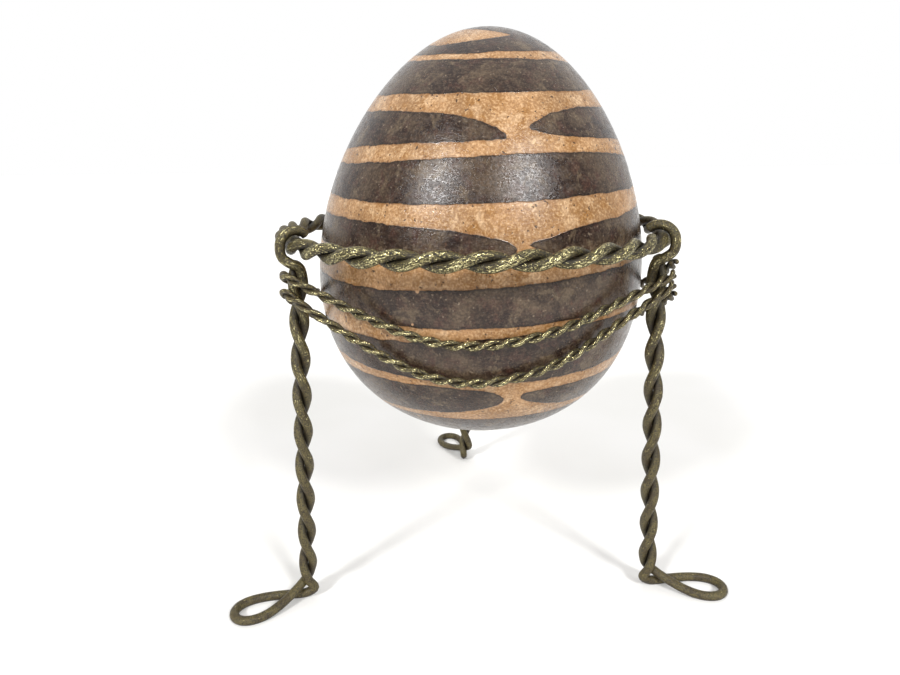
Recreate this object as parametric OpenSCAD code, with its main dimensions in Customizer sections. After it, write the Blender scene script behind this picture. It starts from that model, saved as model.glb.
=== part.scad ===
// Decorated clay egg held upright in a twisted-wire tripod stand.
// Lengths in mm, angles in degrees. +X to the right, +Y to the back leg, +Z up, floor at z = 0.
// The origin is on the floor under the middle of the whole.

/* [Egg] */
// Greatest width of the egg
egg_w = 108; // [90:0.5:112]
// Length of the egg along its own axis
egg_h = 131.2; // [110:0.2:150]
// How much fuller the lower end is than the upper end
egg_taper = 0.174; // [0:0.002:0.3]
// Lean of the egg towards +X at the top
egg_lean = 3.1; // [0:0.1:6]
// Height of the lowest point of the egg before it leans
egg_z = 51.44; // [40:0.1:70]
// Sideways offset of the egg from the ring's axis
egg_x = 2.16; // [0:0.1:4]
// Thickness of the fired clay
egg_wall = 6; // [3:0.5:10]
// Radius of the vent through the lower end
vent_r = 2; // [1:0.1:4]

/* [Wire] */
// Radius of the heavy wire of ring and legs
wire_r = 1.48; // [1:0.02:1.6]
// Centre of each heavy wire from the middle of its twist
wire_twist = 1.52; // [1:0.02:2]
// Radius of the fine wire of the two ropes
fine_r = 0.67; // [0.4:0.01:0.8]
// Centre of each fine wire from the middle of its rope
fine_twist = 0.76; // [0.5:0.01:1]

/* [Ring] */
// Radius of the ring's centre line
ring_r = 62.1; // [60:0.1:66]
// Height of the ring's centre line
ring_z = 119.7; // [110:0.1:130]
// Full twists round the ring
ring_turns = 17; // [12:1:26]

/* [Legs] */
// Distance from the ring's axis to the top of a leg
leg_top_r = 62; // [58:0.1:66]
// Height at which the two wires of a leg part
leg_top_z = 113.6; // [108:0.1:114]
// Height at which the two wires of a leg spread into the foot
leg_foot_z = 6.4; // [5:0.1:9]
// Full twists in a leg, before the half twist that brings the far wire to the front
leg_turns = 4; // [3:1:7]
// Reach of the foot loop from where its wires cross
foot_reach = 22.4; // [15:0.2:30]
// Half width of the foot loop
foot_half_w = 5; // [3:0.1:7]
// Depth of the flat worn under each foot
foot_wear = 0.25; // [0.1:0.05:0.5]

/* [Ropes] */
// Length of rope for one full twist
rope_pitch = 11.4; // [8:0.1:16]
// Clearance between rope and egg
rope_gap = 0.32; // [0.3:0.01:1]

/* [Hidden] */
// Centre of the ring from the middle of the whole, seen from above
ring_x = -2.09;
ring_y = -13.48;
// Where each leg meets the floor from the ring's axis, its azimuth at the top, the azimuth its foot
// loop points to, and the hand of its twist
left_leg = [-57.5, -32.7, 211.5, 209.6, 1];
right_leg = [59.7, -28.5, 331.5, 346, -1];
back_leg = [-1, 67, 92, 113, 1];
// Heights at which each rope passes the right, back, left and again the right leg
upper_z = [113.6, 112, 112.1, 109.9];
lower_z = [103.9, 105.5, 107.4, 106.9];
// Lowest height of each swag, how steeply it rises to either side, and where along it the low is
upper_back = [94.5, 2, 2, 0.5];
lower_back = [82.5, 2, 2, 0.5];
upper_front = [95.3, 1.6, 1.47, 0.454];
lower_front = [83.4, 1.87, 1.66, 0.464];
// Rounding of the low point of a swag, as a share of its half length
sag_round = 0.25;
// Point about which the egg leans, as a share of its length
lean_at = 0.4;
// Where in its twist the ring stands at azimuth 0
ring_phase = 164;
// Wires of a foot cross this far out from the leg, and the upper one is lifted this much
cross_out = 2.6;
cross_lift = 3.5;
// Angle from the middle of the twist to the front wire where the foot begins
foot_phase = 77;
// Spacings of the points that the wires run through
heavy_per_turn = 8;
swag_steps = 60;
heavy_sides = 7;
leg_sides = 8;
fine_sides = 5;
smooth_passes = 3;
// Hooks over the ring, from its inner end down to where it leaves for the leg
hook_r = wire_twist + 2 * wire_r + 0.2;
hook_from = 140;
hook_to = -40;
hook_step = 20;
hook_open = 0.5;
bridge_r = 5.3;
bridge_angle = -66;
bridge_side = 0.95;
butt_rise = 1.5;
// Rope ends on the right leg, measured round the leg from its outermost side
rope_start = -4;
rope_end = 12;
// Rope centre from a leg's centre line and from the egg
wrap_r = wire_r + wire_twist + fine_r + fine_twist + 0.45;
hug = fine_r + fine_twist + rope_gap;
egg_steps = 44;

// ---- small vector helpers ----
function unit(v) = v / norm(v);
function polar(r, a) = [r * cos(a), r * sin(a), 0];
function sum_to(v, i) = i < 0 ? 0 : v[i] + sum_to(v, i - 1);
// Angle of a point about the origin, from 0 to 360
function turn_of(p) = let(a = atan2(p.y, p.x)) a < 0 ? a + 360 : a;

// ---- egg ----
// Radius of the egg at a share u of its half length from the middle, and the slope there
function egg_scale() = egg_w / 2 * sqrt(1 - egg_taper * egg_taper);
function egg_radius(u) = egg_scale() * sqrt(max(0, 1 - u * u)) / (1 + egg_taper * u);
function egg_slope(u) = egg_scale() * (-u - egg_taper)
    / (sqrt(1 - u * u) * pow(1 + egg_taper * u, 2)) * 2 / egg_h;

// Height and distance from the egg's own axis of a point given about the ring's axis
function egg_local(p) =
    let(x = p.x - egg_x, z = p.z - egg_z - lean_at * egg_h)
    [norm([x * cos(egg_lean) - z * sin(egg_lean), p.y]),
     x * sin(egg_lean) + z * cos(egg_lean) + lean_at * egg_h];

// Distance from the ring's axis, at azimuth a and height z, of a point that stands off the egg
function egg_reach(a, z, off, r = 54, n = 8) = n == 0 ? r :
    let(q = egg_local([r * cos(a), r * sin(a), z]),
        u = max(-0.999, min(0.999, 2 * q[1] / egg_h - 1)),
        s = egg_slope(u))
    egg_reach(a, z, off, r + egg_radius(u) + off * sqrt(1 + s * s) - q[0], n - 1);

function egg_profile(inset) = [for (i = [0:egg_steps])
    let(u = -cos(180 * i / egg_steps), k = 1 - inset * 2 / egg_w, h = 1 - inset * 2 / egg_h)
    [k * egg_radius(u), egg_h / 2 * (1 + h * u)]];

module egg_shell() {
    color("#8a5a3a")
        translate([ring_x + egg_x, ring_y, egg_z + lean_at * egg_h])
            rotate([0, egg_lean, 0])
                translate([0, 0, -lean_at * egg_h])
                    difference() {
                        rotate_extrude($fn = 96)
                            polygon(egg_profile(0));
                        rotate_extrude($fn = 96)
                            polygon(egg_profile(egg_wall));
                        translate([0, 0, -1])
                            cylinder(h = 3 * egg_wall, r = vent_r, $fn = 48);
                    }
}

// ---- tube swept along a list of points ----
function tangent(p, i, loop) =
    let(n = len(p), a = loop ? p[(i + n - 1) % n] : p[max(0, i - 1)],
        b = loop ? p[(i + 1) % n] : p[min(n - 1, i + 1)])
    unit(b - a);

// Side directions carried along the wire so that the tube never twists of itself
function sides_of(p, loop) =
    let(t0 = tangent(p, 0, loop), s0 = unit(cross(t0, abs(t0.z) > 0.9 ? [1, 0, 0] : [0, 0, 1])))
    [for (i = 0, s = s0; i < len(p);
        i = i + 1, s = i < len(p) ? let(t = tangent(p, i, loop)) unit(s - (s * t) * t) : s) s];

// Closed loops close on themselves by spreading the leftover turn evenly along the wire
function leftover(p, s) =
    let(t = tangent(p, 0, true), n = len(p), e = unit(s[n - 1] - (s[n - 1] * t) * t))
    atan2(cross(e, s[0]) * t, e * s[0]);

// Turn that puts a flat of the tube straight down at point m
function flat_down(p, s, m, sides) =
    let(b = cross(tangent(p, m, false), s[m]))
    atan2(-b.z, -s[m].z) + 180 / sides;

// A tube with a stated flat point keeps a flat side to the floor there; nothing goes below the floor
module tube(p, r, sides, loop = false, flat_at = -1) {
    s = sides_of(p, loop);
    n = len(p);
    spare = loop ? leftover(p, s) : 0;
    roll = flat_at < 0 ? 0 : flat_down(p, s, flat_at, sides);
    rings = [for (i = [0:n - 1])
        let(t = tangent(p, i, loop), b = cross(t, s[i]))
        for (k = [0:sides - 1])
            let(a = 360 * k / sides + roll + spare * i / n,
                q = p[i] + r * (cos(a) * s[i] + sin(a) * b))
            [q.x, q.y, max(0, q.z)]];
    skin = [for (i = [0:(loop ? n - 1 : n - 2)])
        for (k = [0:sides - 1])
            let(a = i * sides + k, b = i * sides + (k + 1) % sides,
                c = ((i + 1) % n) * sides + (k + 1) % sides, d = ((i + 1) % n) * sides + k)
            each [[a, c, b], [a, d, c]]];
    caps = loop ? [] : [[for (k = [0:sides - 1]) k],
        [for (k = [sides - 1:-1:0]) (n - 1) * sides + k]];
    polyhedron(rings, concat(skin, caps));
}

// ---- ring ----
function ring_points(half) =
    let(n = ring_turns * heavy_per_turn)
    [for (i = [0:n - 1])
        let(a = 360 * i / n, w = ring_turns * a + ring_phase + half)
        [ring_x, ring_y, ring_z + wire_twist * sin(w)] + polar(ring_r + wire_twist * cos(w), a)];

module ring_strand_a() {
    color("#4a4632")
        tube(ring_points(0), wire_r, heavy_sides, true);
}

module ring_strand_b() {
    color("#4a4632")
        tube(ring_points(180), wire_r, heavy_sides, true);
}

// ---- legs, each one wire doubled back on itself ----
// Middle of a leg's twist at height z, about the ring's axis
function leg_axis(leg, z) =
    let(top = polar(leg_top_r, leg[2]), s = z / leg_top_z)
    [leg[0] + (top.x - leg[0]) * s, leg[1] + (top.y - leg[1]) * s, z];

function leg_out(leg) = [cos(leg[3]), sin(leg[3]), 0];
function leg_side(leg) = leg[4] * [-sin(leg[3]), cos(leg[3]), 0];
function leg_lead(leg) = leg[4] * (leg[2] - leg[3]);
function leg_twists(leg) = leg_turns + 0.5 + (foot_phase - leg_lead(leg) - 90) / 360;

function leg_wire(leg, z, half) =
    let(g = leg_lead(leg) + 90 + half
            + (leg_top_z - z) / (leg_top_z - leg_foot_z) * 360 * leg_twists(leg))
    leg_axis(leg, z) + wire_twist * (cos(g) * leg_out(leg) + sin(g) * leg_side(leg));

function hook_points(leg) =
    let(o = [cos(leg[2]), sin(leg[2]), 0], side = leg[4] * [-o.y, o.x, 0], c = ring_r * o + [0, 0, ring_z])
    concat(
        [for (a = [hook_from:-hook_step:hook_to])
            c + (hook_r + hook_open * max(0, a / hook_to)) * (cos(a) * o + [0, 0, sin(a)])],
        [c + bridge_r * (cos(bridge_angle) * o + [0, 0, sin(bridge_angle)]) + bridge_side * side]);

// Foot: a figure with its crossing by the leg, flat on the floor, entered from above
function foot_share() = concat([0, 0.03, 0.07], [for (i = [0:14]) 0.12 + 0.055 * i], [0.93, 0.97, 1, 1.03, 1.06]);
function foot_height(s) = wire_r - foot_wear
    + (s < 0.25 ? cross_lift * pow(1 - s / 0.25, 2) : 0)
    + (s > 1 ? 0.45 * pow((s - 1) / 0.03, 2.2) : 0);
function foot_points(leg) = [for (s = foot_share())
    [leg[0], leg[1], foot_height(s)] + (cross_out + foot_reach * sin(180 * s)) * leg_out(leg)
        + foot_half_w * sin(360 * s) * leg_side(leg)];

function leg_points(leg) =
    let(n = round(leg_twists(leg) * heavy_per_turn), dz = (leg_top_z - leg_foot_z) / n)
    [for (q = concat(
        hook_points(leg),
        [for (i = [0:n]) leg_wire(leg, leg_top_z - i * dz, 0)],
        foot_points(leg),
        [for (i = [n:-1:0]) leg_wire(leg, leg_top_z - i * dz, 180)],
        [leg_wire(leg, leg_top_z + butt_rise, 180)])) q + [ring_x, ring_y, 0]];

// Point of a leg's wire at the far end of its foot
function foot_tip(leg) = len(hook_points(leg)) + round(leg_twists(leg) * heavy_per_turn) + 1
    + floor(len(foot_share()) / 2);

module leg(which) {
    color("#4a4632")
        tube(leg_points(which), wire_r, leg_sides, false, foot_tip(which));
}

module leg_left() {
    leg(left_leg);
}

module leg_right() {
    leg(right_leg);
}

module leg_back() {
    leg(back_leg);
}

// ---- ropes ----
function sag_part(s, p) =
    (pow(s * s + sag_round * sag_round, p / 2) - pow(sag_round, p))
    / (pow(1 + sag_round * sag_round, p / 2) - pow(sag_round, p));

// Height of a swag at azimuth a, hanging from height za at azimuth aa to height zb at azimuth ab
function sag_height(a, aa, ab, za, zb, sag) =
    let(m = aa + sag[3] * (ab - aa))
    a < m ? sag[0] + (za - sag[0]) * sag_part((a - m) / (aa - m), sag[1])
          : sag[0] + (zb - sag[0]) * sag_part((a - m) / (ab - m), sag[2]);

// Angle from a leg to where the rope leaves the egg for it, and the rope's radius there
function leave(al, rl, way, aa, ab, za, zb, sag, phi = 33, n = 3) =
    let(rt = egg_reach(al + way * phi, sag_height(al + way * phi, aa, ab, za, zb, sag), hug))
    n == 0 ? [phi, rt] : leave(al, rl, way, aa, ab, za, zb, sag, acos((rt - wrap_r) / rl), n - 1);

// Points of one swag between two legs, and the angles at which it meets each
function swag(leg_a, leg_b, za, zb, sag, turn_a, turn_b) =
    let(la = leg_axis(leg_a, za), lb = leg_axis(leg_b, zb),
        ra = norm([la.x, la.y]), rb = norm([lb.x, lb.y]),
        aa = atan2(la.y, la.x) + turn_a, ab = atan2(lb.y, lb.x) + turn_b,
        ta = leave(aa, ra, 1, aa, ab, za, zb, sag), tb = leave(ab, rb, -1, aa, ab, za, zb, sag),
        a0 = aa + atan2(wrap_r * sin(ta[0]), ra + wrap_r * cos(ta[0])),
        a1 = ab - atan2(wrap_r * sin(tb[0]), rb + wrap_r * cos(tb[0])))
    [[for (i = [0:swag_steps])
        let(a = a0 + (a1 - a0) * i / swag_steps, z = sag_height(a, aa, ab, za, zb, sag),
            r = egg_reach(a, z, hug),
            near_a = a < aa + ta[0] ? ta[1] / cos(a - aa - ta[0]) : 0,
            near_b = a > ab - tb[0] ? tb[1] / cos(a - ab + tb[0]) : 0)
        polar(max(r, near_a, near_b), a) + [0, 0, z]], ta[0], tb[0]];

// Rope bent round the outside of a leg at height z
function wrap(leg, z, b0, b1, n) =
    let(l = leg_axis(leg, z), a = atan2(l.y, l.x))
    [for (i = [0:n - 1]) l + polar(wrap_r, a + b0 + (b1 - b0) * i / (n - 1))];

function slice(v, from, to) = [for (i = [from:to]) v[i]];
function ease(p, n) = n == 0 ? p :
    ease([for (i = [0:len(p) - 1])
        i == 0 || i == len(p) - 1 ? p[i] : (p[i - 1] + 2 * p[i] + p[i + 1]) / 4], n - 1);

// Centre line of a rope: from its end on the right leg, past the back and left legs, to the right leg
function rope_path(z, back_sag, front_sag) =
    let(s1 = swag(right_leg, back_leg, z[0], z[1], back_sag, 0, 0),
        s2 = swag(back_leg, left_leg, z[1], z[2], back_sag, 0, 360),
        s3 = swag(left_leg, right_leg, z[2], z[3], front_sag, 360, 360))
    ease(concat(
        slice(wrap(right_leg, z[0], rope_start, s1[1], 3), 0, 1),
        s1[0],
        slice(wrap(back_leg, z[1], -s1[2], s2[1], 4), 1, 2),
        s2[0],
        slice(wrap(left_leg, z[2], -s2[2], s3[1], 4), 1, 2),
        s3[0],
        slice(wrap(right_leg, z[3], -s3[2], rope_end, 3), 1, 2)), smooth_passes);

// One wire of a rope, wound round the rope's centre line
function rope_strand(p, half) =
    let(gaps = [for (i = [0:len(p) - 1]) i == 0 ? 0 : norm(p[i] - p[i - 1])],
        run = [for (i = 0, s = 0; i < len(p); i = i + 1, s = s + (i < len(p) ? gaps[i] : 0)) s])
    [for (i = [0:len(p) - 1])
        let(t = tangent(p, i, false), u = unit(cross(t, [0, 0, 1])), v = cross(u, t),
            w = 360 * run[i] / rope_pitch + half)
        p[i] + fine_twist * (cos(w) * u + sin(w) * v) + [ring_x, ring_y, 0]];

upper_path = rope_path(upper_z, upper_back, upper_front);
lower_path = rope_path(lower_z, lower_back, lower_front);

module upper_rope_strand_a() {
    color("#5a5436")
        tube(rope_strand(upper_path, 0), fine_r, fine_sides);
}

module upper_rope_strand_b() {
    color("#5a5436")
        tube(rope_strand(upper_path, 180), fine_r, fine_sides);
}

module lower_rope_strand_a() {
    color("#5a5436")
        tube(rope_strand(lower_path, 0), fine_r, fine_sides);
}

module lower_rope_strand_b() {
    color("#5a5436")
        tube(rope_strand(lower_path, 180), fine_r, fine_sides);
}

egg_shell();
ring_strand_a();
ring_strand_b();
leg_left();
leg_right();
leg_back();
upper_rope_strand_a();
upper_rope_strand_b();
lower_rope_strand_a();
lower_rope_strand_b();
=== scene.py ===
# %% [markdown]
# # A painted clay egg in a twisted wire stand
# The object is a hollow clay egg, striped with dark slip and rubbed to a shine, that
# rests in a ring of two twisted wires. Three legs hang on the ring, and two thin ropes
# swing round the egg from leg to leg. Every wire here is one tube carried along a line
# worked out by formula, and the egg is one closed grid, so each piece is a whole-array
# numpy surface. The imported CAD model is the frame: all places and sizes come from it.

import bpy
import numpy as np
from mathutils import Matrix


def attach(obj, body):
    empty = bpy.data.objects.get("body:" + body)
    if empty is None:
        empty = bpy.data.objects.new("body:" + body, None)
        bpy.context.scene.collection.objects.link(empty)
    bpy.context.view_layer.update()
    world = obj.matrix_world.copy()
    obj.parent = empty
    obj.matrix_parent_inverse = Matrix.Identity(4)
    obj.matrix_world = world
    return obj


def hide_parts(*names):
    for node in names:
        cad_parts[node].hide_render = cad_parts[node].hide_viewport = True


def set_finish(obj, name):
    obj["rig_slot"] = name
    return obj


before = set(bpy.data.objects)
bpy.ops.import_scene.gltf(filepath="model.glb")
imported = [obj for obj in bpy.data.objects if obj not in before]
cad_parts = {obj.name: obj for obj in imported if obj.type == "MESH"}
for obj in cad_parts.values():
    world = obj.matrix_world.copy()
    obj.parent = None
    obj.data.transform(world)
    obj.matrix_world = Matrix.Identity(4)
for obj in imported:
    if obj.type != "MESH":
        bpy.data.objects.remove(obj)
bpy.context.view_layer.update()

# %% [markdown]
# ## Small helpers
# The drawing of this stand is in millimetres and Blender works in metres, so points stay
# in millimetres until they enter a mesh. Two little vector functions and one smooth
# curve are most of the geometry that the wires need. Blender's own curve objects could bend
# a wire too, but a mesh lets each point carry facts, such as how exposed it is, which
# the paint reads later.

# %% Vector helpers
MM = 0.001


def unit(v):
    """Each row divided by its length."""
    return v / np.linalg.norm(v, axis=-1, keepdims=True)


def polar(radius, degrees):
    """Points on the floor plane at a distance and bearing from the ring's axis."""
    a = np.radians(degrees)
    radius, a = np.broadcast_arrays(np.asarray(radius, float), a)
    return np.stack([radius * np.cos(a), radius * np.sin(a), 0 * a], -1)


def smooth_line(points, per, closed=False):
    """Catmull-Rom curve: between points b and c, with neighbours a and d, the place at share t is
    b + (c - a) t/2 + (2a - 5b + 4c - d) t^2/2 + (3b - a - 3c + d) t^3/2."""
    p = np.asarray(points, float)
    ends = (p[-1:], p[:2]) if closed else (2 * p[:1] - p[1:2], 2 * p[-1:] - p[-2:-1])
    q = np.vstack([ends[0], p, ends[1]])
    a, b, c, d = (q[i:len(q) - 3 + i, None] for i in range(4))
    t = (np.arange(per) / per)[None, :, None]
    run = (b + (c - a) * t / 2 + (2 * a - 5 * b + 4 * c - d) * t**2 / 2
           + (3 * b - a - 3 * c + d) * t**3 / 2).reshape(-1, p.shape[1])
    return run if closed else np.vstack([run, p[-1:]])


print("10 mm at a bearing of 90 degrees is", polar(10, 90).round(3))


# %% Mesh helper
def make_piece(name, points, faces, body, nodes, slot, facts):
    """Puts arrays of points in millimetres and faces into a smooth-shaded object at the origin."""
    mesh = bpy.data.meshes.new(name)
    mesh.from_pydata((points * MM).tolist(), [], faces)
    for key, value in facts.items():
        value = np.asarray(value, np.float32)
        kind, field = ("FLOAT", "value") if value.ndim == 1 else ("FLOAT_VECTOR", "vector")
        mesh.attributes.new(key, kind, "POINT").data.foreach_set(field, value.ravel())
    mesh.shade_smooth()
    piece = bpy.data.objects.new(name, mesh)
    bpy.context.scene.collection.objects.link(piece)
    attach(piece, body)
    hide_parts(*nodes)
    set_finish(piece, slot)
    print(f"{name}: {len(points)} points, {len(faces)} faces")
    return piece


def quads(rows, cols, wrap_rows, wrap_cols):
    """Four-sided faces of a grid whose point (i, j) has number i * cols + j."""
    i = np.arange(rows if wrap_rows else rows - 1)[:, None]
    j = np.arange(cols if wrap_cols else cols - 1)[None]
    i2, j2 = (i + 1) % rows, (j + 1) % cols
    return np.stack([i * cols + j, i * cols + j2, i2 * cols + j2, i2 * cols + j], -1).reshape(-1, 4)


print("a grid of 3 by 4 points has", len(quads(3, 4, False, False)), "faces")


# %% [markdown]
# ## The egg's shape
# A hen's egg is close to an ellipse whose radius is divided by a factor that grows along
# it. The blunt end is down. The shell is hollow, with a vent hole in the blunt end that
# lets air out in the kiln, so the profile runs up the outside to the tip, and back down
# the inside to the hole. Turning one closed profile round the axis makes both walls at
# once, and nothing has to be cut.

# %% Egg profile
EGG_W, EGG_H, EGG_TAPER = 108.0, 131.2, 0.174
EGG_WALL, VENT_R = 6.0, 2.0
EGG_X, EGG_Z, EGG_LEAN, LEAN_AT = 2.16, 51.44, np.radians(3.1), 0.4
RING_X, RING_Y = -2.09, -13.48


def egg_radius(u):
    """Half the width, times root(1 - taper^2), times root(1 - u^2) over 1 + taper u."""
    return (EGG_W / 2 * np.sqrt(1 - EGG_TAPER**2) * np.sqrt(np.clip(1 - u * u, 0, None))
            / (1 + EGG_TAPER * u))


def egg_slope(u):
    """How fast the radius changes with height."""
    return (EGG_W / 2 * np.sqrt(1 - EGG_TAPER**2) * (-u - EGG_TAPER)
            / (np.sqrt(1 - u * u) * (1 + EGG_TAPER * u) ** 2) * 2 / EGG_H)


def egg_wall(inset, rows, start):
    """Radii and heights along one wall, from angle start (0 is the blunt pole) to the tip."""
    t = np.linspace(start, np.pi, rows)
    u = -np.cos(t)
    return (1 - 2 * inset / EGG_W) * egg_radius(u), EGG_H / 2 * (1 + (1 - 2 * inset / EGG_H) * u)


radii, heights = egg_wall(0, 400, 0)
widest = radii.argmax()
print("the egg is", round(2 * radii[widest], 1), "mm wide, at", round(heights[widest], 1), "mm up")


# %% [markdown]
# ## The slip stripes
# The dark stripes were brushed on by hand. Some run right round, and between them lie
# stripes that stop short in a rounded point on each side of a seam, front and back. An
# edge that a brush draws round an egg is a slow wave, so each one is a mean height plus a
# few sines: how much it rises to the right, how much it bulges at the front, and one
# faster wave. What is kept on the mesh is not the colour but the distance to the nearest
# stripe edge in millimetres. The paint can then roughen the edge as finely as it likes,
# which a coloured mesh never could.

# %% Stripe edges, as (mean height, rise to the right, bulge at front, second wave) in mm
ROUND_STRIPES = {
    "cap": ((140, 0, 0, 0), (126.7, -2.3, 1.3, 0)),
    "crown": ((126.3, 0.8, -0.4, 1.8), (123.2, 1.2, -1.9, 0.5)),
    "brow": ((120.5, 0.5, -1.1, 0.5), (111.9, 2.4, -2.0, -0.1)),
    "shoulder": ((90.8, 2.4, 2.9, 1.0), (83.0, 2.7, -1.4, 0.8)),
    "waist": ((60.8, 4.6, -1.2, 0.8), (50.4, 0.6, -2.1, 1.9)),
    "hip": ((45.1, 2.8, 0.3, 2.4), (33.9, 2.8, -2.9, -0.2)),
    "seat": ((15.1, 3.2, 0.9, 0), (-10, 0, 0, 0)),
}
# Pointed stripes: upper edge, lower edge, height and bearing of the front point, sharpness
POINTED_STRIPES = {
    "upper_left": ((103.3, -0.9, 0.4, 0), (94.1, 1.8, 2.9, 0), 98.0, -84.5, 0.72),
    "upper_right": ((106.7, 2.5, -1.1, 0), (98.6, 0.7, 0.2, 0), 101.0, -77.5, 0.72),
    "middle_left": ((73.5, -0.1, 0.7, 0), (65.6, 1.0, 0.8, 0), 69.6, -82.0, 0.5),
    "middle_right": ((76.9, 5.0, -3.5, 0), (67.6, 1.0, -0.4, 0), 71.4, -79.0, 0.78),
    "lower_left": ((27.6, 2.7, 1.9, 0), (17.5, 4.4, 1.6, 0), 25.2, -81.9, 0.5),
    "lower_right": ((29.1, 0.7, -0.2, 0), (20.6, -1.9, 1.9, 0), 26.7, -76.3, 0.5),
}
# bearing of the seam, the degrees a point takes to reach full width, the gap between points
# behind, and the distance past which the paint needn't know how far the edge is
SEAM, POINT_RUN, GAP_BEHIND, FAR_MM = -80.0, 28.0, 4.0, 9.0


def edge_height(edge, bearing):
    """mean + rise sin d + bulge cos d + wave sin 2d, where d is the bearing from the front."""
    d = np.radians(bearing + 90)
    return edge[0] + edge[1] * np.sin(d) + edge[2] * np.cos(d) + edge[3] * np.sin(2 * d)


def slip_distance(bearing, height, along, around):
    """Largest, over all stripes, of the smaller height above its lower and below its upper edge,
    divided by its own slope on the surface, so that it is in millimetres of surface."""
    inside = [np.minimum(edge_height(up, bearing) - height, height - edge_height(low, bearing))
              for up, low in ROUND_STRIPES.values()]
    for name, (up, low, tip, tip_at, sharp) in POINTED_STRIPES.items():
        side = -1 if name.endswith("left") else 1
        from_tip = side * (bearing - tip_at)
        far = 180 - side * (tip_at - SEAM) - GAP_BEHIND - from_tip
        run = np.clip(np.minimum(from_tip, far) / POINT_RUN, 0, 1)
        share = (1 - (1 - run) ** 2) ** sharp
        mid = tip + (edge_height(up, bearing) / 2 + edge_height(low, bearing) / 2 - tip) * share
        half = (edge_height(up, bearing) - edge_height(low, bearing)) / 2 * share
        lens = half - np.abs(height - mid)
        inside.append(np.where((from_tip > 0) & (far > 0), lens, -np.abs(height - mid) - 0.2))
    d = np.max(inside, axis=0)
    steep = np.hypot(np.gradient(d, axis=0) / along, np.gradient(d, axis=1) / around)
    return np.clip(d / np.clip(steep, 0.5, 6), -FAR_MM, FAR_MM)


print(len(ROUND_STRIPES), "stripes run right round and", len(POINTED_STRIPES), "end in points")


# %% Egg mesh
ROWS_OUT, ROWS_IN, COLS = 210, 40, 300
hole_out, hole_in = VENT_R / (EGG_W / 2), VENT_R / (EGG_W / 2 - EGG_WALL)
r_out, h_out = egg_wall(0, ROWS_OUT, hole_out)
r_in, h_in = egg_wall(EGG_WALL, ROWS_IN, hole_in)
r_out, r_in = r_out[:-1], r_in[:-1]
bearing = np.linspace(-260, 100, COLS, endpoint=False)
along = np.hypot(np.gradient(r_out), np.gradient(h_out[:-1]))[:, None]
around = (np.radians(360 / COLS) * np.clip(r_out, 1, None))[:, None]
slip = slip_distance(bearing[None], h_out[:-1, None], along, around)

# one strip of rings: inner wall from the tip down, through the hole, outer wall up to the tip
ring_r = np.r_[r_in[::-1], r_out]
ring_h = np.r_[h_in[:-1][::-1], h_out[:-1]]
rings = polar(ring_r[:, None], bearing[None])
rings[..., 2] = ring_h[:, None] - LEAN_AT * EGG_H
tips = np.array([[0, 0, h - LEAN_AT * EGG_H] for h in (h_in[-1], h_out[-1])])
egg_points = np.vstack([rings.reshape(-1, 3), tips])
cos_l, sin_l = np.cos(EGG_LEAN), np.sin(EGG_LEAN)
x, z = egg_points[:, 0].copy(), egg_points[:, 2].copy()
egg_points[:, 0] = x * cos_l + z * sin_l + RING_X + EGG_X
egg_points[:, 1] += RING_Y
egg_points[:, 2] = z * cos_l - x * sin_l + EGG_Z + LEAN_AT * EGG_H
n_rings, last = len(ring_r), len(egg_points) - 1
j, j2 = np.arange(COLS), np.roll(np.arange(COLS), -1)
top = (n_rings - 1) * COLS
egg_faces = quads(n_rings, COLS, False, True).tolist()
egg_faces += np.stack([j2, j, 0 * j + last - 1], -1).tolist()
egg_faces += np.stack([top + j, top + j2, 0 * j + last], -1).tolist()
slip_all = np.r_[np.full(len(r_in) * COLS, -FAR_MM), slip.ravel(), -FAR_MM, FAR_MM]
egg = make_piece("clay_egg", egg_points, egg_faces, "egg", ["egg_shell"], "painted_clay",
                 {"slip": slip_all})
print("slip covers", round(float((slip > 0).mean() * 100)), "percent of the outer grid")

# %% [markdown]
# ## Wire as a tube along a line
# A wire is a circle carried along a line. The circle needs a side direction at each
# station that does not spin on its own, or the tube wrings itself like a wet cloth. Here
# any rough side direction is laid down first, then the spin it makes from station to
# station is measured, added up along the wire, and taken away again. On a closed loop the
# leftover is shared out evenly. Real wire is not quite even: the paint on it is lumpy, so
# the radius wanders by a few hundredths of a millimetre.

# %% Tube along a line
# three sizes of lump, as widths in stations, with their height and the thinning of the whole
# wire as shares of its radius, and the stations in which they fade out where a loop closes
LUMPS, LUMP_HIGH, THINNED, FADE = (7, 17, 39), 0.010, 0.012, 20
# a cut end's length in radii, and the share of its area that it loses
CUT_LONG, CUT_LOSS = 0.28, 0.62
# a slanting direction to measure from: a wire may pass close to it, because the spin that this
# makes is taken away, but must not run exactly along it
ASLANT = [0.31, 0.17, 0.93]


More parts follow.
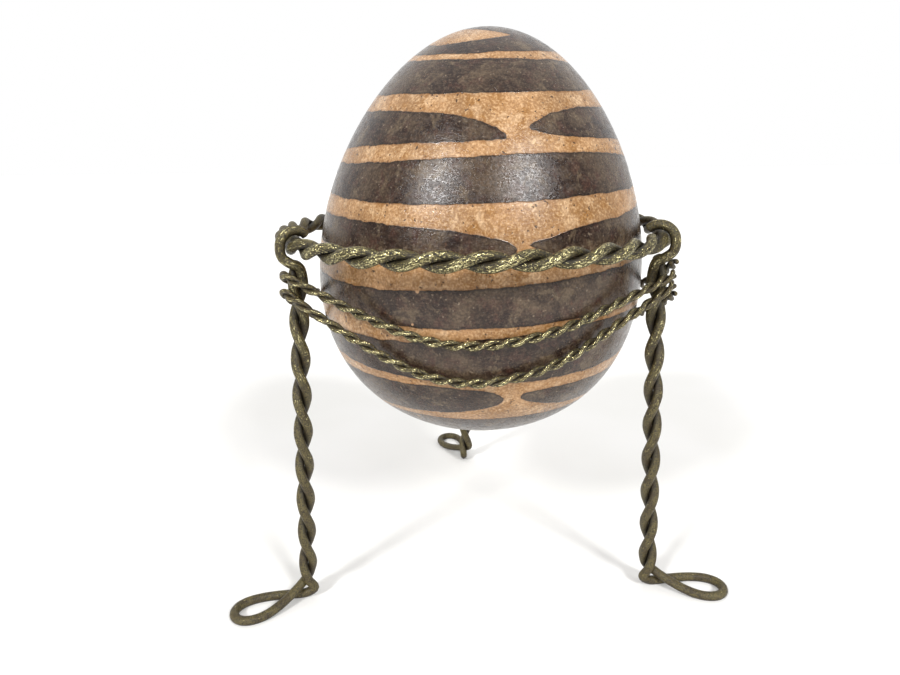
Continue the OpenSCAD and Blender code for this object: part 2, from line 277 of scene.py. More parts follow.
def sweep(line, out, radius, sides, closed, seed):
    """Circle of the radius round each station, in the plane square to the line. Returns points,
    faces and, for each point, 1 where it faces the side called out and 0 where it faces away, and
    its place on the wire as (a quarter of the distance along, radius cos, radius sin)."""
    n = len(line)
    ahead, behind = (np.roll(line, -1, 0), np.roll(line, 1, 0)) if closed else (
        np.vstack([line[1:], 2 * line[-1:] - line[-2:-1]]),
        np.vstack([2 * line[:1] - line[1:2], line[:-1]]))
    t = unit(ahead - behind)
    s = unit(np.cross(t, ASLANT))
    b = np.cross(t, s)
    nxt = np.roll(s, -1, 0)
    flat = nxt - (nxt * t).sum(-1, keepdims=True) * t
    spin = np.arctan2((flat * b).sum(-1), (flat * s).sum(-1))
    turn = np.r_[0, np.cumsum(spin[:-1])]
    if closed:
        total = turn[-1] + spin[-1]
        turn = turn - np.arange(n) / n * (total - 2 * np.pi * np.round(total / (2 * np.pi)))
    rng = np.random.default_rng(seed)
    lumps = np.stack([rng.normal(size=n + 2 * FADE) for _ in LUMPS])
    lumps = np.stack([np.convolve(row, np.hanning(w), "same")[FADE:n + FADE] / np.sqrt(w)
                      for row, w in zip(lumps, LUMPS)]).sum(0)
    if closed:
        # no lumps where the loop meets itself
        lumps = lumps * np.clip(np.minimum(np.arange(n), n - 1 - np.arange(n)) / FADE, 0, 1)
    r = radius * (1 - THINNED + LUMP_HIGH * lumps)
    run = np.r_[0, np.cumsum(np.linalg.norm(np.diff(line, axis=0), axis=1))]
    if not closed:
        # cut ends: the last stations pull in to a small flat
        near = np.minimum(run, run[-1] - run) / (CUT_LONG * radius)
        r = r * np.sqrt(1 - np.clip(1 - near, 0, 1) ** 2 * CUT_LOSS)
    a = 2 * np.pi * np.arange(sides)[None] / sides - turn[:, None]
    way = np.cos(a)[..., None] * s[:, None] + np.sin(a)[..., None] * b[:, None]
    points = line[:, None] + r[:, None, None] * way
    points[..., 2] = np.clip(points[..., 2], 0, None)
    exposed = (way * out[:, None]).sum(-1) / 2 + 0.5
    faces = quads(n, sides, closed, True).tolist()
    if not closed:
        faces += [list(range(sides))[::-1], [(n - 1) * sides + k for k in range(sides)]]
    g = a + turn[:, None]
    spot = np.stack([run[:, None] / 4 + 0 * g, radius * np.cos(g), radius * np.sin(g)], -1)
    return points.reshape(-1, 3), faces, exposed.ravel(), spot.reshape(-1, 3)


rod_line, rod_up = np.array([[0, 0, 5.0], [9, 0, 5], [18, 0, 5]]), np.tile([0, 0, 1.0], (3, 1))
rod_points = sweep(rod_line, rod_up, 1.5, 16, False, 1)[0]
print("a rod drawn 3 mm thick is", round(float(np.ptp(rod_points[:, 2])), 2), "mm with its lumps")


# %% [markdown]
# ## The ring
# Two wires wound round each other and bent into a hoop: each is a helix round a circle,
# and the two are half a turn apart. A torus with a twisted bump map would look like it
# only from afar. Two real strands give the scalloped outline and the dark cleft.

# %% Ring strands
# the CAD strands stand 0.08 mm apart; paint fills that cleft, so here they just meet
WIRE_R, WIRE_TWIST = 1.48, 1.52
PAINTED_R = 1.535
RING_R, RING_Z, RING_TURNS, RING_PHASE = 62.1, 119.7, 17, 164
TO_PART = np.array([RING_X, RING_Y, 0])
# how bright the bronze is behind, at a foot, up a leg, and at the front: partly rubbing, and partly
# painted glint of the lamps in front
RUB_GLINT_BEHIND, RUB_GLINT_FOOT, RUB_GLINT_LEG, RUB_GLINT_FRONT = 0.12, 0.22, 0.35, 1.0


def ring_strand(half):
    """Radius = ring + twist cos w, height = ring height + twist sin w, where w is the bearing times
    the number of turns, plus the phase and the strand's half turn."""
    a = np.arange(RING_TURNS * 8) * 360 / (RING_TURNS * 8)
    w = np.radians(RING_TURNS * a + RING_PHASE + half)
    out = polar(np.cos(w), a) + np.stack([0 * w, 0 * w, np.sin(w)], -1)
    return polar(RING_R, a) + [0, 0, RING_Z] + WIRE_TWIST * out, out


def wire_piece(name, points, out, radius, sides, per, closed, seed, node, slot):
    """Smooths the line and its outward direction, sweeps it, and adds it to the stand. The rub, with
    its painted glint, grows from 40 to 90 mm above the table, and from 24 to 46 mm in front of the
    ring's axis."""
    both = smooth_line(np.hstack([points, out]), per, closed)
    line, way = both[:, :3], both[:, 3:]
    way = way / np.clip(np.linalg.norm(way, axis=1, keepdims=True), 0.3, None)
    verts, faces, exposed, spot = sweep(line, way, radius, sides, closed, seed)
    high, front = np.clip((verts[:, 2] - 40) / 50, 0, 1), np.clip((-24 - verts[:, 1]) / 22, 0, 1)
    # rubbing, plus a painted glint of the lamps in front that makes the front brightest
    rub_and_glint = RUB_GLINT_FOOT + (RUB_GLINT_LEG - RUB_GLINT_FOOT) * high + (RUB_GLINT_FRONT - RUB_GLINT_LEG) * high * front
    rub_and_glint = np.where(verts[:, 1] > -10, RUB_GLINT_BEHIND, rub_and_glint)
    return make_piece(name, verts + TO_PART, faces, "stand", [node], slot,
                      {"exposed": exposed, "rub_and_glint": rub_and_glint, "spot": spot})


stand = {}
for k, half in (("a", 0), ("b", 180)):
    line, out = ring_strand(half)
    stand["ring_" + k] = wire_piece("ring_wire_" + k, line, out, PAINTED_R, 16, 6, True, 11 + half,
                                    "ring_strand_" + k, "heavy_wire")

# %% [markdown]
# ## The legs
# Each leg is one wire doubled on itself. It starts as a hook over the ring, winds down,
# spreads into a flat loop that is the foot, crosses itself, and winds back up to a cut
# end under the ring. It is drawn the way the wire was bent, as one line in five stretches
# joined end to end, so that the foot can't come apart from the twist.

# %% Leg lines
TOP_R, TOP_Z, FOOT_Z, LEG_TURNS, FOOT_PHASE = 62.0, 113.6, 6.4, 4.5, 77
FOOT_REACH, FOOT_HALF_W, FOOT_WEAR, CROSS_OUT, CROSS_LIFT = 22.4, 5.0, 0.25, 2.6, 3.5
HOOK_R, HOOK_OPENS = WIRE_TWIST + 2 * WIRE_R + 0.2, 0.5
# the hook runs from the egg's side of the ring over its top and down outside, in degrees
HOOK_ARC = np.arange(140, -41, -20.0)
# between the hook and the twist the wire passes here: distance, angle and step aside
BRIDGE_R, BRIDGE_AT, BRIDGE_ASIDE = 5.3, np.radians(-66), 0.95
# foot x and y from the ring's axis, bearing of the top, bearing of the foot, way of winding
LEGS = {"left": (-57.5, -32.7, 211.5, 209.6, 1), "right": (59.7, -28.5, 331.5, 346.0, -1),
        "back": (-1.0, 67.0, 92.0, 113.0, 1)}


def leg_axis(leg, z):
    """Middle of a leg's twist: a straight line from its foot to its top under the ring."""
    z = np.asarray(z, float)
    top = polar(TOP_R, leg[2])
    share = z[..., None] / TOP_Z
    spot = np.array([leg[0], leg[1], 0]) * (1 - share) + top * share
    spot[..., 2] = z
    return spot


def leg_line(leg):
    """The wire's points and, at each, the side that faces out of the twist: an arc round the ring,
    a helix down, a loop whose reach is sin s and whose width is sin 2s, and a helix up."""
    hand = leg[4]
    # e points out along the foot and f across it
    e = polar(1, leg[3])
    f = hand * polar(1, leg[3] + 90)
    lead = hand * (leg[2] - leg[3])
    twists = LEG_TURNS + (FOOT_PHASE - lead - 90) / 360
    n = int(round(twists * 8))
    z = TOP_Z - np.arange(n + 1) * (TOP_Z - FOOT_Z) / n

    def wind(z, half):
        """A strand of the twist: axis + twist radius (cos g e + sin g f), where g grows with depth."""
        g = np.radians(lead + 90 + half + (TOP_Z - z) / (TOP_Z - FOOT_Z) * 360 * twists)
        out = np.cos(g)[:, None] * e + np.sin(g)[:, None] * f
        return leg_axis(leg, z) + WIRE_TWIST * out, out

    o, up = polar(1, leg[2]), np.array([0, 0, 1.0])
    a = np.radians(HOOK_ARC)
    over = np.cos(a)[:, None] * o + np.sin(a)[:, None] * up
    hub = RING_R * o + RING_Z * up
    hook = hub + (HOOK_R + HOOK_OPENS * np.clip(-HOOK_ARC / 40, 0, None))[:, None] * over
    bridge = (hub + BRIDGE_R * (np.cos(BRIDGE_AT) * o + np.sin(BRIDGE_AT) * up)
              + BRIDGE_ASIDE * hand * np.cross(up, o))
    # shares of the way round the foot; it starts high, where the wire crosses over itself, comes
    # down to lie on the floor by a quarter of the way, and climbs again past the end
    s = np.r_[0, 0.03, 0.07, 0.12 + 0.055 * np.arange(15), 0.93, 0.97, 1, 1.03, 1.06]
    rise = (WIRE_R - FOOT_WEAR + CROSS_LIFT * np.clip(1 - s / 0.25, 0, None) ** 2
            + 0.45 * np.clip((s - 1) / 0.03, 0, None) ** 2.2)
    foot = (np.array([leg[0], leg[1], 0]) + (CROSS_OUT + FOOT_REACH * np.sin(np.pi * s))[:, None] * e
            + (FOOT_HALF_W * np.sin(2 * np.pi * s))[:, None] * f + rise[:, None] * up)
    down, down_out = wind(z, 0)
    back, back_out = wind(z[::-1], 180)
    end, end_out = wind(np.array([TOP_Z + 1.5]), 180)
    line = np.vstack([hook, bridge[None], down, foot, back, end])
    out = np.vstack([over, down_out[:1], down_out, np.tile(up * 0.6, (len(s), 1)), back_out, end_out])
    return line, out


print("a leg is drawn through", len(leg_line(LEGS["left"])[0]), "points")

# %% Leg pieces
for i, (name, leg) in enumerate(LEGS.items()):
    line, out = leg_line(leg)
    stand["leg_" + name] = wire_piece("leg_wire_" + name, line, out, PAINTED_R, 16, 5, False, 31 + i,
                                      "leg_" + name, "heavy_wire")

# %% [markdown]
# ## The ropes
# Each rope is two thin wires twisted together, which start on the outside of the right
# leg, hang in a swag to the back leg, bend round it, hang to the left leg, and come back
# across the front. Where a swag meets the egg it lies on it, and where it leaves the egg it
# runs straight to the leg. So the rope's middle is worked out as a distance from the
# ring's axis at each bearing, and its height as a sagging curve, then the strands are
# wound round that middle.

# %% Rope middles
FINE_R, FINE_TWIST, ROPE_GAP, ROPE_PITCH = 0.67, 0.76, 0.32, 11.4
PAINTED_FINE_R = 0.745
WRAP_R = WIRE_R + WIRE_TWIST + FINE_R + FINE_TWIST + 0.45
HUG = FINE_R + FINE_TWIST + ROPE_GAP
SAG_ROUND, SWAG_STEPS, SMOOTHINGS = 0.25, 60, 3
# the angle, in degrees from a leg, at which a rope might come off the egg
FIRST_GUESS = 33.0
# heights at the four meetings with legs, then (low point, power left, power right, place) of sags
ROPES = {"upper": ((113.6, 112.0, 112.1, 109.9), (94.5, 2, 2, 0.5), (95.3, 1.6, 1.47, 0.454)),
         "lower": ((103.9, 105.5, 107.4, 106.9), (82.5, 2, 2, 0.5), (83.4, 1.87, 1.66, 0.464))}


def egg_reach(a, z, off):
    """Distance from the ring's axis, at bearing a, of a point that stands off the egg by off:
    a guess is corrected eight times by how far it misses the leaning egg."""
    a, z = np.broadcast_arrays(np.radians(a), np.asarray(z, float))
    r = np.full(a.shape, EGG_W / 2)
    h = z - EGG_Z - LEAN_AT * EGG_H
    for _ in range(8):
        x, y = r * np.cos(a) - EGG_X, r * np.sin(a)
        xl = x * cos_l - h * sin_l
        u = np.clip((x * sin_l + h * cos_l + LEAN_AT * EGG_H) * 2 / EGG_H - 1, -0.999, 0.999)
        r = r + egg_radius(u) + off * np.sqrt(1 + egg_slope(u) ** 2) - np.hypot(xl, y)
    return r


def sag_part(s, p):
    """0 at the low point and 1 at the leg: a power of the distance, rounded at the bottom."""
    w = SAG_ROUND
    return ((s * s + w * w) ** (p / 2) - w**p) / ((1 + w * w) ** (p / 2) - w**p)


def swag(leg_a, leg_b, za, zb, sag, turn_a, turn_b):
    """Points of one swag and the angles at which it leaves the first leg and meets the second."""
    spot_a, spot_b = leg_axis(leg_a, za), leg_axis(leg_b, zb)
    out_a, out_b = np.hypot(spot_a[0], spot_a[1]), np.hypot(spot_b[0], spot_b[1])
    at_a = np.degrees(np.arctan2(spot_a[1], spot_a[0])) + turn_a
    at_b = np.degrees(np.arctan2(spot_b[1], spot_b[0])) + turn_b
    low, power_a, power_b, place = sag
    at_low = at_a + place * (at_b - at_a)

    def height(a):
        """Height of the sagging rope at bearing a."""
        return np.where(a < at_low,
                        low + (za - low) * sag_part((a - at_low) / (at_a - at_low), power_a),
                        low + (zb - low) * sag_part((a - at_low) / (at_b - at_low), power_b))

    def leave(at, out, way):
        """Angle from the leg to where the rope comes off the egg, which is a guess corrected four
        times, and the rope's distance from the ring's axis there."""
        angle = FIRST_GUESS
        for _ in range(4):
            touch = egg_reach(at + way * angle, height(at + way * angle), HUG)
            last, angle = angle, np.degrees(np.arccos((touch - WRAP_R) / out))
        return last, touch

    (off_a, touch_a), (off_b, touch_b) = leave(at_a, out_a, 1), leave(at_b, out_b, -1)
    sin_a, cos_a, sin_b, cos_b = (g(np.radians(v)) for v in (off_a, off_b) for g in (np.sin, np.cos))
    start = at_a + np.degrees(np.arctan2(WRAP_R * sin_a, out_a + WRAP_R * cos_a))
    stop = at_b - np.degrees(np.arctan2(WRAP_R * sin_b, out_b + WRAP_R * cos_b))
    a = np.linspace(start, stop, SWAG_STEPS + 1)
    r = egg_reach(a, height(a), HUG)
    # off the egg it is straight: the distance where it touches, over cos of the angle past there
    r = np.where(a < at_a + off_a, np.maximum(r, touch_a / np.cos(np.radians(a - at_a - off_a))), r)
    r = np.where(a > at_b - off_b, np.maximum(r, touch_b / np.cos(np.radians(a - at_b + off_b))), r)
    points = polar(r, a)
    points[:, 2] = height(a)
    return points, off_a, off_b


def wrap(leg, z, b0, b1, n):
    """Rope bent round the outside of a leg: an arc of the wrap radius about the leg's middle."""
    spot = leg_axis(leg, z)
    bearing = np.degrees(np.arctan2(spot[1], spot[0]))
    return spot + polar(WRAP_R, bearing + np.linspace(b0, b1, n))


def rope_middle(z, behind, front):
    """Three swags and the wraps between them, end to end, then each point averaged with its
    neighbours, counted once, and itself, counted twice."""
    left, right, back = LEGS["left"], LEGS["right"], LEGS["back"]
    s1, s1a, s1b = swag(right, back, z[0], z[1], behind, 0, 0)
    s2, s2a, s2b = swag(back, left, z[1], z[2], behind, 0, 360)
    s3, s3a, s3b = swag(left, right, z[2], z[3], front, 360, 360)
    p = np.vstack([wrap(right, z[0], -4, s1a, 3)[:-1], s1, wrap(back, z[1], -s1b, s2a, 4)[1:-1],
                   s2, wrap(left, z[2], -s2b, s3a, 4)[1:-1], s3, wrap(right, z[3], -s3b, 12, 3)[1:]])
    for _ in range(SMOOTHINGS):
        p = np.vstack([p[:1], (p[:-2] + 2 * p[1:-1] + p[2:]) / 4, p[-1:]])
    return p


def rope_strand(p, half):
    """Middle + twist (cos w across + sin w up), where w turns once every pitch along the rope."""
    t = unit(np.vstack([p[1:], p[-1:]]) - np.vstack([p[:1], p[:-1]]))
    across = unit(np.cross(t, [0, 0, 1.0]))
    up = np.cross(across, t)
    run = np.r_[0, np.cumsum(np.linalg.norm(np.diff(p, axis=0), axis=1))]
    w = np.radians(360 * run / ROPE_PITCH + half)[:, None]
    out = np.cos(w) * across + np.sin(w) * up
    return p + FINE_TWIST * out, out


print("a rope bends round a leg at", round(WRAP_R, 2), "mm from the leg's middle")

# %% Rope pieces
for i, (name, (z, behind, front)) in enumerate(ROPES.items()):
    middle = rope_middle(z, behind, front)
    for k, half in (("a", 0), ("b", 180)):
        line, out = rope_strand(middle, half)
        stand[name + k] = wire_piece(f"{name}_rope_wire_{k}", line, out, PAINTED_FINE_R, 12, 6, False,
                                     51 + 2 * i + half, f"{name}_rope_strand_{k}", "fine_wire")
    print(name, "rope is", round(float(np.linalg.norm(np.diff(middle, axis=0), axis=1).sum())), "mm")

# %% [markdown]
# ## Nodes and colours
# Colours are written as the hex values a painter would pick on screen, and one function
# turns them to the linear light that shaders use. One more adds a node with its settings
# and its links. Clay and old lacquer are colour laid over colour, each coat showing where
# its own noise is high. So a material is mostly a short list of coats: the size of the
# blotches in millimetres, the noise level where the coat starts and where it is full, how
# much it covers there, and its colour. A start above the full level lays it in the hollows
# of the noise.

# %% Colour and node helpers
# A Map Range's inputs are 0 the value, 1 and 2 the range it comes from, and 3 and 4 the range
# it goes to, which are 0 and 1 unless set. A colour Mix's are 0 the share, 6 the colour below
# and 7 the colour above, and the mixed colour is its output 2.
SMOOTH = {"interpolation_type": "SMOOTHSTEP"}
MIXED = {"data_type": "RGBA", "out": 2}


def colour(code):
    """sRGB hex to linear: c/12.92 below 0.04045, else ((c + 0.055)/1.055)^2.4."""
    c = np.array([int(code[i:i + 2], 16) for i in (1, 3, 5)]) / 255
    return (*np.where(c <= 0.04045, c / 12.92, ((c + 0.055) / 1.055) ** 2.4), 1.0)


def add(tree, kind, links=None, out=0, **settings):
    """Adds a node, sets its properties, fills its inputs with values or other outputs, and gives
    back the output called out."""
    n = tree.nodes.new(kind)
    for key, value in settings.items():
        setattr(n, key, value)
    for key, value in (links or {}).items():
        if isinstance(value, bpy.types.NodeSocket):
            tree.links.new(value, n.inputs[key])
        else:
            n.inputs[key].default_value = value
    return n.outputs[out] if n.outputs else None


print("middle grey is", round(colour("#808080")[0], 3), "in linear light")


# %% Materials, coats and the shader
def new_material(name):
    """An empty material and its node tree."""
    m = bpy.data.materials.new(name)
    m.use_nodes = True
    m.node_tree.nodes.clear()
    return m, m.node_tree


def coats(tree, ground, layers):
    """Colour over colour, where noise is high. A coat is (place, blotch in mm, octaves, roughness
    and warp of its noise, level where it starts, level where it is full, cover there, colour)."""
    for where, blotch, octaves, rough, warp, start, full, cover, code in layers.values():
        cloud = add(tree, "ShaderNodeTexNoise", {"Vector": where, "Scale": 1 / (blotch * MM),
                    "Detail": octaves, "Roughness": rough, "Distortion": warp})
        share = add(tree, "ShaderNodeMapRange", {0: cloud, 1: start, 2: full, 4: cover}, **SMOOTH)
        ground = add(tree, "ShaderNodeMix", {0: share, 6: ground, 7: colour(code)}, **MIXED)
    return ground


def finish_material(m, tree, shader_links, bump_links):
    """Bump, the Principled shader and the output."""
    bump = add(tree, "ShaderNodeBump", bump_links)
    shader = add(tree, "ShaderNodeBsdfPrincipled", {**shader_links, "Normal": bump})
    add(tree, "ShaderNodeOutputMaterial", {"Surface": shader})
    print("material", m.name, "has", len(tree.nodes), "nodes")


# %% [markdown]
# ## Burnished earthenware with slip
# The clay is low-fired earthenware, rubbed with a pebble while leather-hard. Rubbing lays
# the grains flat, so it shines softly without any glaze: a dielectric of IOR 1.5 whose
# roughness wanders from 0.13, where the pebble pressed, to 0.34. Its surface still mirrors
# a little less than a glaze, so the specular level is 0.4. To the eye it is a low, broken
# shine. The bare clay is tan, with ochre and pale blotches and dark pinholes. The slip is
# a thin coat of iron and manganese clay, grey-brown, patchy where it was thin, with a dark
# rim where the brush left it thick, and a few chips.
#
# First comes the edge. The mesh holds the distance to it, smooth as a drawing. Two noises,
# 7 mm and 1.2 mm, shift that distance by about half a millimetre and a tenth, as a brush
# wavers and frays, and a step at zero then says where slip lies.

# %% Slip edge
clay, t = new_material("burnished_earthenware_with_slip")
place = add(t, "ShaderNodeTexCoord", out="Object")
level = add(t, "ShaderNodeMapping", {"Vector": place, "Scale": (1, 1, 7)})
edge = add(t, "ShaderNodeAttribute", out="Fac", attribute_name="slip")
for blotch, shift in ((7, 1.6), (1.2, 0.45)):
    sway = add(t, "ShaderNodeTexNoise", {"Vector": place, "Scale": 1 / (blotch * MM), "Detail": 2.0,
               "Roughness": 0.55})
    sway = add(t, "ShaderNodeMath", {0: sway, 1: 0.5}, operation="SUBTRACT")
    edge = add(t, "ShaderNodeMath", {0: sway, 1: shift, 2: edge}, operation="MULTIPLY_ADD")
under_slip = add(t, "ShaderNodeMapRange", {0: edge, 1: -0.12, 2: 0.16}, **SMOOTH)
print("the edge uses", len(t.nodes), "nodes")

# %% Bare clay
# real grog is 0.2 to 0.5 mm: the grain is drawn at 0.7 mm and the pinholes at 1.3 mm, to show
# each: place, blotch, octaves, roughness, warp, start, full, cover, colour
tan = coats(t, colour("#95704a"), {
    "kiln clouds": (place, 16, 3, 0.55, 0, 0.38, 0.62, 1.0, "#b58b60"),
    "ochre blotches": (place, 5.5, 5, 0.65, 0.5, 0.46, 0.66, 0.85, "#93652f"),
    "pale blotches": (place, 7, 5, 0.7, 0.5, 0.50, 0.64, 0.8, "#ceac86"),
    "rub marks": (level, 3.2, 4, 0.6, 0, 0.40, 0.66, 0.15, "#c39d72"),
    "dark grain": (place, 0.7, 4, 0.7, 0, 0.60, 0.38, 0.52, "#75522f"),
    "light grain": (place, 0.7, 4, 0.7, 0, 0.50, 0.68, 0.50, "#dab990")})
pinhole = add(t, "ShaderNodeTexNoise", {"Vector": place, "Scale": 1 / (1.3 * MM), "Detail": 2.0,
              "Roughness": 0.5})
pinhole = add(t, "ShaderNodeMapRange", {0: pinhole, 1: 0.66, 2: 0.70, 4: 0.85}, **SMOOTH)
tan = add(t, "ShaderNodeMix", {0: pinhole, 6: tan, 7: colour("#35241a")}, **MIXED)
# slip water stained the clay for a millimetre beside each stripe
stain = add(t, "ShaderNodeMapRange", {0: edge, 1: -0.8, 2: -0.1, 4: 0.35}, **SMOOTH)
tan = add(t, "ShaderNodeMix", {0: stain, 6: tan, 7: colour("#6f4a2f")}, **MIXED)
print("bare clay brings it to", len(t.nodes), "nodes")

# %% Slip
dark = coats(t, colour("#271914"), {
    "thick and thin": (place, 13, 6, 0.65, 0.6, 0.40, 0.62, 1.0, "#524335"),
    "faded olive": (place, 6, 6, 0.7, 0.6, 0.52, 0.62, 0.75, "#6a5a47"),
    "purple-brown": (place, 4, 5, 0.65, 0.4, 0.48, 0.70, 1.0, "#452d25"),
    "rub marks": (level, 3.2, 4, 0.6, 0, 0.40, 0.66, 0.22, "#56493e"),
    "dark grain": (place, 0.7, 4, 0.7, 0, 0.58, 0.38, 0.42, "#150e0b"),
    "light grain": (place, 0.7, 4, 0.7, 0, 0.50, 0.70, 0.36, "#716150"),
    "worn spots": (place, 2.1, 4, 0.65, 0, 0.64, 0.74, 0.55, "#6b4c39"),
    "dust in the pits": (place, 0.9, 2, 0.5, 0, 0.68, 0.72, 0.6, "#8d7c69")})
rim = add(t, "ShaderNodeMapRange", {0: edge, 1: 1.0, 2: 0.15, 4: 0.55}, **SMOOTH)
dark = add(t, "ShaderNodeMix", {0: rim, 6: dark, 7: colour("#17100e")}, **MIXED)
# cells lie 9 mm apart, and some have a chip, up to a millimetre in radius, that shows the clay
chip = add(t, "ShaderNodeTexVoronoi", {"Vector": place, "Scale": 1 / (9 * MM)}, out="Distance")
chip_r = add(t, "ShaderNodeMapRange", {0: chip.node.outputs["Color"], 1: 0.60, 4: 0.10}, **SMOOTH)
chip = add(t, "ShaderNodeMath", {0: chip_r, 1: chip}, operation="SUBTRACT")
chip = add(t, "ShaderNodeMapRange", {0: chip, 2: 0.012}, **SMOOTH)
dark = add(t, "ShaderNodeMix", {0: chip, 6: dark, 7: colour("#a98564")}, **MIXED)
skin = add(t, "ShaderNodeMix", {0: under_slip, 6: tan, 7: dark}, **MIXED)
print("slip brings it to", len(t.nodes), "nodes")

# %% Burnish
gloss = add(t, "ShaderNodeTexNoise", {"Vector": place, "Scale": 1 / (1.8 * MM), "Detail": 5.0,
            "Roughness": 0.65})
gloss = add(t, "ShaderNodeMapRange", {0: gloss, 1: 0.36, 2: 0.64, 3: 0.13, 4: 0.34}, **SMOOTH)
gloss = add(t, "ShaderNodeMath", {0: under_slip, 1: -0.03, 2: gloss}, operation="MULTIPLY_ADD")
rub = add(t, "ShaderNodeTexNoise", {"Vector": level, "Scale": 1 / (2.2 * MM), "Detail": 4.0,
          "Roughness": 0.6})
relief = add(t, "ShaderNodeTexNoise", {"Vector": place, "Scale": 1 / (0.9 * MM), "Detail": 5.0,
             "Roughness": 0.75, "Distortion": 0.8})
# scuffs, plus half the rub marks, less the pinholes, plus the thickness of the slip
for part, height in ((rub, 0.5), (pinhole, -0.6), (under_slip, 0.6)):
    relief = add(t, "ShaderNodeMath", {0: part, 1: height, 2: relief}, operation="MULTIPLY_ADD")
finish_material(clay, t, {"Base Color": skin, "Roughness": gloss, "IOR": 1.5,
                          "Specular IOR Level": 0.40},
                {"Height": relief, "Strength": 0.75, "Distance": 0.10 * MM})
egg.data.materials.append(clay)

# %% [markdown]
# ## Bronzed steel wire
# The wire is mild steel under a gritty olive-bronze lacquer, a paint full of metal flakes.
# Towards the front of the ring and ropes it is painted bright, partly as rubbing by handling
# and partly as painted glints of the lamps in front, and behind and on the feet it is dull
# and dark. So the finish is a metal with a dark base colour, which shows sharp gold glints
# where a lamp catches it and is nearly black elsewhere, broken by dull enamel grains. The
# mesh carries three facts for it: exposed, which side of the strand faces out, and which
# also darkens the cleft between strands as painted shade; rub_and_glint, how bright this
# stretch is, rubbing and painted glint together; and spot, the place on the wire's own
# skin, which draws the rub marks out four times as long as they are wide. Flakes in such a
# lacquer are mostly under a tenth of a millimetre: they are drawn at about 0.4 mm, so
# that they show.


# %% Wire finish
def bronzed(name, grain_mm, bright, dull):
    """Metal where drawn-out noise, plus shares of grain, exposure and rub with painted glint, is high,
    enamel elsewhere, darkest in the cleft as painted shade, and black in the hollows of the grain."""
    m, t = new_material(name)
    place = add(t, "ShaderNodeTexCoord", out="Object")
    spot = add(t, "ShaderNodeAttribute", out="Vector", attribute_name="spot")
    exposed = add(t, "ShaderNodeAttribute", out="Fac", attribute_name="exposed")
    rub_and_glint = add(t, "ShaderNodeAttribute", out="Fac", attribute_name="rub_and_glint")
    grain = add(t, "ShaderNodeTexNoise", {"Vector": place, "Scale": 1 / (grain_mm * MM),
                "Detail": 3.0, "Roughness": 0.7})
    marks = add(t, "ShaderNodeTexNoise", {"Vector": spot, "Scale": 1 / (0.9 * grain_mm),
                "Detail": 3.0, "Roughness": 0.65})
    # exposure and rub raise the gold flakes on outer crests and at the front: partly wear, partly
    # painted glint
    want = marks
    for part, weight in ((grain, 0.4), (exposed, 0.16), (rub_and_glint, 0.26)):
        want = add(t, "ShaderNodeMath", {0: part, 1: weight, 2: want}, operation="MULTIPLY_ADD")

    # enamel with painted shade, darkest in the cleft where the strand faces in, with brown blotches,
    # under flakes that go from olive to gold
    out = add(t, "ShaderNodeMapRange", {0: exposed, 2: 0.6}, **SMOOTH)
    enamel = add(t, "ShaderNodeMix", {0: out, 6: colour("#1b160d"), 7: colour(dull)}, **MIXED)
    enamel = coats(t, enamel, {
        "brown blotches": (place, 9 * grain_mm, 3, 0.55, 0, 0.42, 0.62, 0.6, "#3a2d1c")})
    # flakes go paler towards a painted pale-gold glint where the wire faces out and to the front
    flake_glint = add(t, "ShaderNodeMapRange", {0: want, 1: 1.06, 2: 1.20}, **SMOOTH)
    flake = add(t, "ShaderNodeMix", {0: flake_glint, 6: colour(bright), 7: colour("#f4e9b2")}, **MIXED)
    metal = add(t, "ShaderNodeMapRange", {0: want, 1: 1.04, 2: 1.12}, **SMOOTH)
    shade = add(t, "ShaderNodeMix", {0: metal, 6: enamel, 7: flake}, **MIXED)

    # black in the hollows: coarse everywhere, fine only where rub and painted glint are high
    hollow = add(t, "ShaderNodeMapRange", {0: grain, 1: 0.50, 2: 0.42, 4: 0.85}, **SMOOTH)
    shade = add(t, "ShaderNodeMix", {0: hollow, 6: shade, 7: colour("#130f09")}, **MIXED)
    grit = add(t, "ShaderNodeTexNoise", {"Vector": place, "Scale": 1 / (0.7 * grain_mm * MM),
               "Detail": 2.0, "Roughness": 0.6})
    grit = add(t, "ShaderNodeMapRange", {0: grit, 1: 0.50, 2: 0.44}, **SMOOTH)
    grit = add(t, "ShaderNodeMath", {0: grit, 1: rub_and_glint}, operation="MULTIPLY")
    shade = add(t, "ShaderNodeMix", {0: grit, 6: shade, 7: colour("#16120a")}, **MIXED)

    # the more rub and painted glint, the more it is bare metal, and the smoother
    shine = add(t, "ShaderNodeMath", {0: rub_and_glint, 1: 0.9}, operation="MULTIPLY")
    shine = add(t, "ShaderNodeMath", {0: metal, 1: shine}, operation="MULTIPLY")
    rough = add(t, "ShaderNodeMapRange", {0: shine, 2: 0.9, 3: 0.46, 4: 0.20}, **SMOOTH)
    height = add(t, "ShaderNodeMath", {0: marks, 1: 0.6, 2: grain}, operation="MULTIPLY_ADD")
    finish_material(m, t, {"Base Color": shade, "Roughness": rough, "Metallic": shine,
                           "Specular IOR Level": 0.4},
                    {"Height": height, "Strength": 0.9, "Distance": 0.20 * MM})
    return m


# %% Finish on every wire
wire_finish = {
    "heavy_wire": bronzed("olive_bronze_lacquer_on_steel", 0.42, "#7a6c36", "#5c5230"),
    "fine_wire": bronzed("olive_bronze_lacquer_on_fine_steel", 0.36, "#80703a", "#5f522f")}
for piece in stand.values():
    piece.data.materials.append(wire_finish[piece["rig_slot"]])
print(len(stand), "wires are finished")

# %% [markdown]
# ## Floor, light and camera
# The object stands on a plain white table in bright, soft, even light. A large plane with
# a matte off-white finish is enough for the floor. Behind the egg the room is white, and
# towards the viewer it is dimmer, as it is when a pale backdrop is lit and the rest is not.
# Two distant lamps in front, each about ten degrees wide, give the two burnished
# highlights, and a very wide one above fills the shadows. Lamps near the object would
# leave the far table grey, so these are all distant. The camera looks down at the front by
# about 17 degrees from 23 cm away.

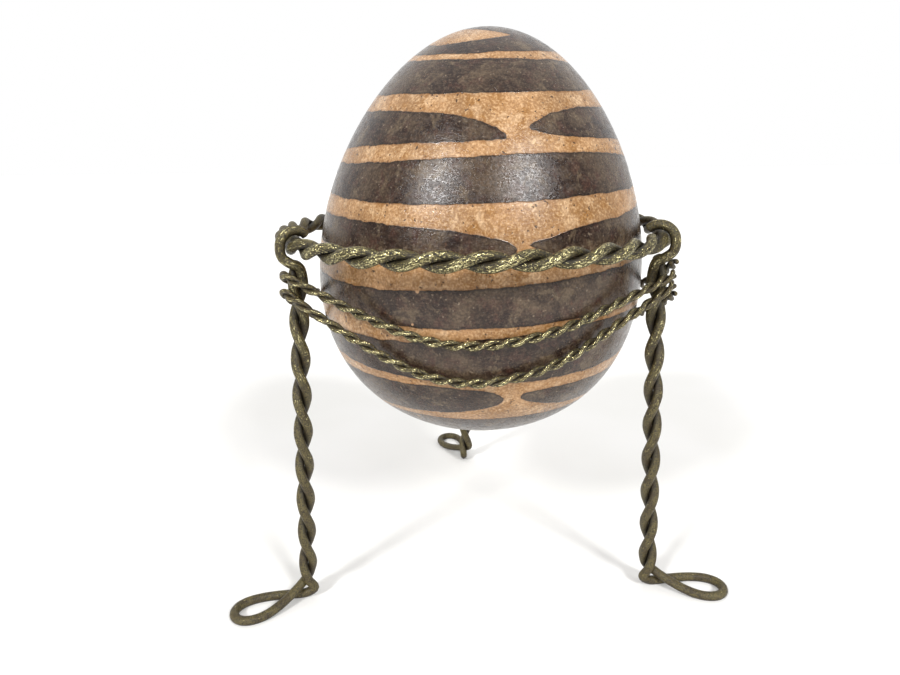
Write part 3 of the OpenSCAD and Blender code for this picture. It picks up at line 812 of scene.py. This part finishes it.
# %% Floor
floor_mesh = bpy.data.meshes.new("table_top")
side = 3.0
floor_mesh.from_pydata([(-side, -side, 0), (side, -side, 0), (side, side, 0), (-side, side, 0)],
                       [], [(0, 1, 2, 3)])
table_top = bpy.data.objects.new("table_top", floor_mesh)
bpy.context.scene.collection.objects.link(table_top)
white, t = new_material("matte_white_laminate")
place = add(t, "ShaderNodeTexCoord", out="Object")
sheet = coats(t, colour("#ecebe8"), {
    "faint clouds": (place, 90, 2, 0.55, 0, 0.35, 0.65, 1.0, "#f0efed")})
pebble = add(t, "ShaderNodeTexNoise", {"Vector": place, "Scale": 1 / (1.5 * MM), "Detail": 4.0,
             "Roughness": 0.55})
finish_material(white, t, {"Base Color": sheet, "Roughness": 0.6},
                {"Height": pebble, "Strength": 0.05, "Distance": 0.05 * MM})
floor_mesh.materials.append(white)


# %% Lights
def placed(x, y, z, at):
    """The matrix whose columns are three directions and a place."""
    return Matrix(np.vstack([np.stack([x, y, z, at], -1), [0, 0, 0, 1]]).tolist())


def distant_lamp(name, bearing, height, spread, strength):
    """A lamp so far off that it lights the whole table evenly; spread is its width in degrees."""
    a, e = np.radians(bearing), np.radians(height)
    way = np.array([np.cos(a) * np.cos(e), np.sin(a) * np.cos(e), np.sin(e)])
    side = unit(np.cross([0, 0, 1.0], way) + [1e-6, 0, 0])
    lamp = bpy.data.lights.new(name, "SUN")
    lamp.angle, lamp.energy = np.radians(spread), strength
    o = bpy.data.objects.new(name, lamp)
    o.matrix_world = placed(side, np.cross(way, side), way, way * 1.2)
    bpy.context.scene.collection.objects.link(o)


# bearing, height and spread in degrees, then strength in watts per square metre
distant_lamp("window_left", -129.7, 35.8, 10, 2.05)
distant_lamp("window_right", -55.9, 36.6, 13, 2.3)
distant_lamp("ceiling_bounce", -90, 62, 110, 0.75)
world = bpy.data.worlds.new("white_room")
world.use_nodes = True
t = world.node_tree
# the room is brightest low behind the egg, and what is seen past the table is white
look = add(t, "ShaderNodeTexCoord", out="Generated")
facing = add(t, "ShaderNodeVectorMath", {0: look, 1: (0, 0.97, 0.24)}, out="Value",
             operation="DOT_PRODUCT")
bright = add(t, "ShaderNodeMapRange", {0: facing, 1: -0.3, 2: 0.9, 3: 0.12}, **SMOOTH)
seen = add(t, "ShaderNodeLightPath", out="Is Camera Ray")
sky = t.nodes["Background"]
sky.inputs["Color"].default_value = colour("#ffffff")
t.links.new(add(t, "ShaderNodeMath", {0: bright, 1: seen}, operation="MAXIMUM"),
            sky.inputs["Strength"])
bpy.context.scene.world = world
bpy.context.scene.view_settings.view_transform = "Standard"

# %% Camera
camera_data = bpy.data.cameras.new("camera")
camera_data.lens, camera_data.sensor_width = 26.711, 36.0
camera_data.clip_start = 0.01
camera = bpy.data.objects.new("camera", camera_data)
# how far it looks down, and its roll, in radians
down, roll = 0.290279, 0.012388
right = np.array([1.0, 0, 0])
upward = np.array([0, np.sin(down), np.cos(down)])
back = np.array([0, -np.cos(down), np.sin(down)])
across = np.cos(roll) * right - np.sin(roll) * upward
above = np.sin(roll) * right + np.cos(roll) * upward
stand_at = np.array([-10.11, -241.14, 149.55]) * MM
camera.matrix_world = placed(across, above, back, stand_at)
bpy.context.scene.collection.objects.link(camera)
bpy.context.scene.camera = camera
print("the camera looks down by", round(float(np.degrees(down)), 1), "degrees")
